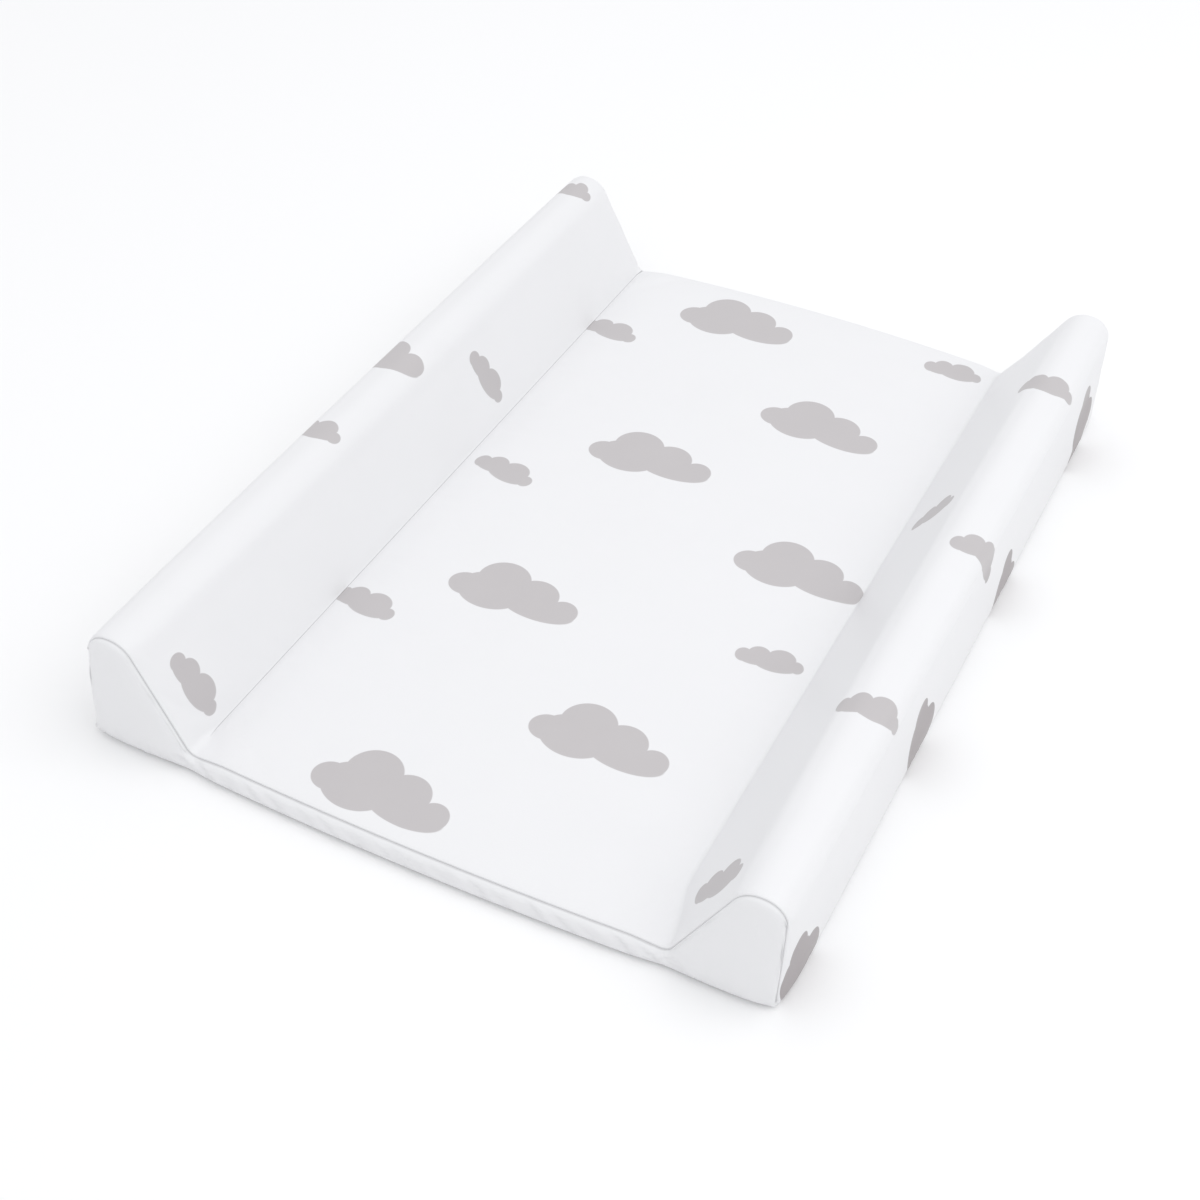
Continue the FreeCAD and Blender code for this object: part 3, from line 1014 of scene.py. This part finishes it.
def base_grid(x_low, x_high, y_low, y_high, height, cell=6.0 * MM):
    """A level grid on the underside that follows its bowed ends and raised corners."""
    xs = np.linspace(x_low, x_high, max(2, round((x_high - x_low) / cell)) + 1)
    ys = np.linspace(y_low, y_high, max(2, round((y_high - y_low) / cell)) + 1)
    x, y = np.meshgrid(xs, ys, indexing="ij")
    points = np.stack([x, y, np.full_like(x, height)], axis=-1)
    bow(points)
    lift_corners(points, x, y)
    return points


def block_loops(grid, normals, rows, stations, depth, base_z):
    """Cross-sections of a foam block: the film's shape moved inwards, closed by a level base."""
    top = (grid - normals * depth)[rows][:, stations]
    ends = np.stack([top[-1], top[0]])
    ends[..., 2] = base_z
    shares = np.linspace(0, 1, BLOCK_BASE_POINTS)[:, None, None]
    base = ends[0][None] * (1 - shares) + ends[1][None] * shares
    return np.concatenate([top, base]).transpose(1, 0, 2)


def layer_loops(grid, normals, rows, stations, outer_depth, inner_depth):
    """Cross-sections of a layer that lies between two depths under the film."""
    outer = (grid - normals * outer_depth)[rows][:, stations]
    inner = (grid - normals * inner_depth)[rows][:, stations]
    return np.concatenate([outer, inner[::-1]]).transpose(1, 0, 2)


def make_filling(cover, normals):
    """The foam blocks and the wadding over them, in the two wedges and between them."""
    foam, wadding = foam_material(), wadding_material()
    x = profile_core[:, 0]
    outside = np.arange(ACROSS) >= WALL
    outside &= np.arange(ACROSS) <= ACROSS - 1 - WALL
    zones = {
        "centre": np.flatnonzero(np.abs(x) <= VALLEY_X - FILLING_GAP),
        "right_wedge": np.flatnonzero((x >= VALLEY_X + FILLING_GAP) & outside),
        "left_wedge": np.flatnonzero((x <= -VALLEY_X - FILLING_GAP) & outside),
    }
    stations = np.flatnonzero(np.abs(film_v) <= HALF_LENGTH - CORE_GAP)[::2]
    film = FILM + CLEARANCE
    board_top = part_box("base_board")[1][2]
    for zone, rows in zones.items():
        base = board_top + (CLEARANCE if zone == "centre" else STAPLE_ROOM)
        loops = block_loops(cover, normals, rows, stations, film + WADDING, base)
        block = loft(zone + "_foam_block", loops)
        dress(block, foam, "foam", zone + "_foam")
        loops = layer_loops(cover, normals, rows, stations, film, film + WADDING - CLEARANCE)
        layer = loft(zone + "_wadding_layer", loops)
        dress(layer, wadding, "wadding", zone + "_wadding")


def revolve(name, profile, centre, sides=40):
    """A closed ring round a line along Y, from (radius, height) points."""
    angles = np.arange(sides) * 2 * math.pi / sides
    radius, height = np.array(profile).T
    x = centre[0] + np.cos(angles)[:, None] * radius[None, :]
    z = centre[2] + np.sin(angles)[:, None] * radius[None, :]
    y = centre[1] + np.tile(height, (sides, 1))
    points = np.stack([x, y, z], axis=-1)
    index = np.arange(points[..., 0].size).reshape(points.shape[:2])
    after = np.roll(index, -1, axis=0)
    faces = np.stack([index, np.roll(index, -1, 1), np.roll(after, -1, 1), after], axis=-1)
    return make_object(name, points, faces.reshape(-1, 4))


def joined(name, pieces):
    """Several meshes as one object."""
    with bpy.context.temp_override(active_object=pieces[0], selected_editable_objects=pieces):
        bpy.ops.object.join()
    pieces[0].name = name
    return pieces[0]


def make_vents(rear, panel):
    """Two eyelets through the rear panel, each with its washer behind the film."""
    metal = metal_material("eyelet_metal", EYELET_COLOURS, roughness=0.25)
    eyelets, washers, cutters = [], [], []
    for x, z in EYELET_PLACES:
        away = np.hypot(rear[..., 0] - x, rear[..., 2] - z)
        y = rear[..., 1].reshape(-1)[away.argmin()]
        centre = (x, y, z)
        eyelets.append(revolve("eyelet", np.array(EYELET) * MM, centre))
        washers.append(revolve("washer", np.array(WASHER) * MM, centre))
        cutters.append(revolve("cutter", np.array(EYELET_HOLE) * MM, centre))
    cut_out(panel, cutters)
    dress(joined("vent_eyelet_pair", eyelets), metal, "eyelet_metal", "vent_eyelets")
    dress(joined("vent_washer_pair", washers), metal, "eyelet_metal", "vent_washers")


def cut_out(piece, cutters):
    """Cuts holes in a piece and removes the cutters."""
    for cutter in cutters:
        tool = piece.modifiers.new("hole", "BOOLEAN")
        tool.operation = "DIFFERENCE"
        tool.solver = "EXACT"
        tool.object = cutter
    apply_modifiers(piece)
    for cutter in cutters:
        bpy.data.objects.remove(cutter)


def apply_modifiers(piece):
    """Turns a piece's modifiers into plain mesh."""
    bpy.context.view_layer.update()
    shown = piece.evaluated_get(bpy.context.evaluated_depsgraph_get())
    mesh = bpy.data.meshes.new_from_object(shown)
    piece.modifiers.clear()
    piece.data = mesh


# ---------------------------------------------------------------- floor, light and camera


def make_floor():
    """A plain pale floor under the pad."""
    corners = [(-1, -1), (1, -1), (1, 1), (-1, 1)]
    points = [(x * FLOOR_HALF, y * FLOOR_HALF, FLOOR_Z) for x, y in corners]
    floor = make_object("floor", points, [(0, 1, 2, 3)])
    made, _, shader = base_material("floor", 0.9, specular=0.2)
    shader.inputs["Base Color"].default_value = (FLOOR_GREY, FLOOR_GREY, FLOOR_GREY, 1)
    material_of(floor, made)


def make_lights():
    """Soft white studio light, mostly from above."""
    world = bpy.data.worlds.new("studio")
    bpy.context.scene.world = world
    world.use_nodes = True
    tree = world.node_tree
    background = tree.nodes["Background"]
    background.inputs["Color"].default_value = (*SKY_COLOUR, 1.0)
    way = node(tree, "TexCoord").outputs["Generated"]
    height = node(tree, "SeparateXYZ", {"Vector": way}).outputs["Z"]
    strength = spread(tree, height, SKY_HORIZON, SKY_ZENITH)
    tree.links.new(strength, background.inputs["Strength"])
    light = bpy.data.lights.new("softbox", "AREA")
    light.shape = "DISK"
    light.size = SOFTBOX_SIZE
    light.energy = SOFTBOX_POWER
    box = bpy.data.objects.new("softbox", light)
    box.location = SOFTBOX_PLACE
    box.rotation_euler = Vector(SOFTBOX_PLACE).to_track_quat("Z", "Y").to_euler()
    bpy.context.scene.collection.objects.link(box)


def make_camera():
    """A camera in front of the pad, to its right and above it."""
    azimuth, elevation, roll = (math.radians(x) for x in CAMERA_ANGLES)
    reach = math.cos(elevation)
    way = (math.sin(azimuth) * reach, -math.cos(azimuth) * reach, math.sin(elevation))
    back = Vector(way)
    level = Vector((math.cos(azimuth), math.sin(azimuth), 0.0))
    up = back.cross(level)
    right = level * math.cos(roll) + up * math.sin(roll)
    top = up * math.cos(roll) - level * math.sin(roll)
    data = bpy.data.cameras.new("camera")
    data.lens = CAMERA_LENS
    data.sensor_width = CAMERA_SENSOR
    data.clip_start = 0.05
    data.clip_end = 100.0
    camera = bpy.data.objects.new("camera", data)
    camera.matrix_world = Matrix((right, top, back)).transposed().to_4x4()
    camera.location = CAMERA_PLACE
    bpy.context.scene.collection.objects.link(camera)
    bpy.context.scene.camera = camera


# ---------------------------------------------------------------- the pad


def make_ends(cover, ends, binding):
    """The two end films, each with its bound edge, and the vents in the rear one."""
    # The end films get painted shade in the groove beside their seams.
    seam_shaded = plain_film("seam_shaded_film", FILM_SHADE, FILM_WHITE, seam_shaded=True)
    for name, points, end_film, sign in ends:
        panel = shell(name + "_end_film", points, 0.0, FILM, flip=sign < 0, film=end_film)
        dress(panel, seam_shaded, "plain_film", name + "_end_panel")
        welt = make_welt(name + "_welt", cover, sign)
        dress(welt, binding, "seam_film", name + "_seam_welt")
        if name == "rear":
            make_vents(points, panel)


def make_underside(binding):
    """The bottom film, and the welded strips that join the hems to it."""
    hem_x = HALF_WIDTH - HEM
    hem_y = HALF_LENGTH - HEM
    under = base_grid(-hem_x, hem_x, -hem_y, hem_y, 0.0)
    bottom = shell("bottom_film", under, 0.0, FILM, flip=True)
    dress(bottom, plain_film("plain_film", FILM_SHADE, FILM_WHITE), "plain_film", "bottom_sheet")
    half = WELD_WIDTH / 2
    strips = {
        "right": (hem_x - half, hem_x + half, -hem_y - half, hem_y + half),
        "left": (-hem_x - half, -hem_x + half, -hem_y - half, hem_y + half),
        "front": (-hem_x + half, hem_x - half, -hem_y - half, -hem_y + half),
        "rear": (-hem_x + half, hem_x - half, hem_y - half, hem_y + half),
    }
    for side, limits in strips.items():
        points = base_grid(*limits, FILM, cell=WELD_CELL)
        strip = shell(side + "_weld_strip", points, 0.0, WELD_THICKNESS, flip=True)
        dress(strip, binding, "seam_film", side + "_bottom_seam")


def build_pad():
    """Makes every piece of the pad."""
    cover = cover_shape(profile_mid, normals_mid, SLACK_STOPS)
    front, front_film = panel_shape(-1, profile_end, normals_end)
    rear, rear_film = panel_shape(1, profile_rear, normals_rear)
    join_seams(cover, front, rear)
    settle_film(cover, front, rear)

    taken_up = np.arange(ACROSS) > ACROSS - 1 - VALLEY_ROW
    film = np.stack(np.meshgrid(film_u - VALLEY_FOLD * taken_up, film_v, indexing="ij"), axis=-1)
    printed = shell("printed_cover", cover, 0.0, FILM, flip=True, film=film)
    dress(printed, printed_film(), "printed_film", "top_cover")
    binding = plain_film("seam_film", *BINDING_COLOURS)
    ends = (("front", front, front_film, -1), ("rear", rear, rear_film, 1))
    make_ends(cover, ends, binding)
    make_underside(binding)

    core = cover_shape(profile_core, normals_core, TIE_STOPS_FRONT)
    make_filling(core, grid_normals(core, True))


def dress_cad_nodes():
    """Gives the pieces that are used as packed their materials."""
    board = board_material()
    tie = plain_film("tie_film", *TIE_COLOURS)
    wire = metal_material("staple_wire", STAPLE_COLOURS, roughness=0.4)
    materials = {
        "base_board": board,
        "right_valley_tie": tie,
        "left_valley_tie": tie,
        "right_tie_staples": wire,
        "left_tie_staples": wire,
    }
    for name, material in materials.items():
        material_of(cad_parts[name], material)


build_pad()
dress_cad_nodes()
make_floor()
make_lights()
make_camera()
bpy.context.scene.view_settings.view_transform = "Standard"
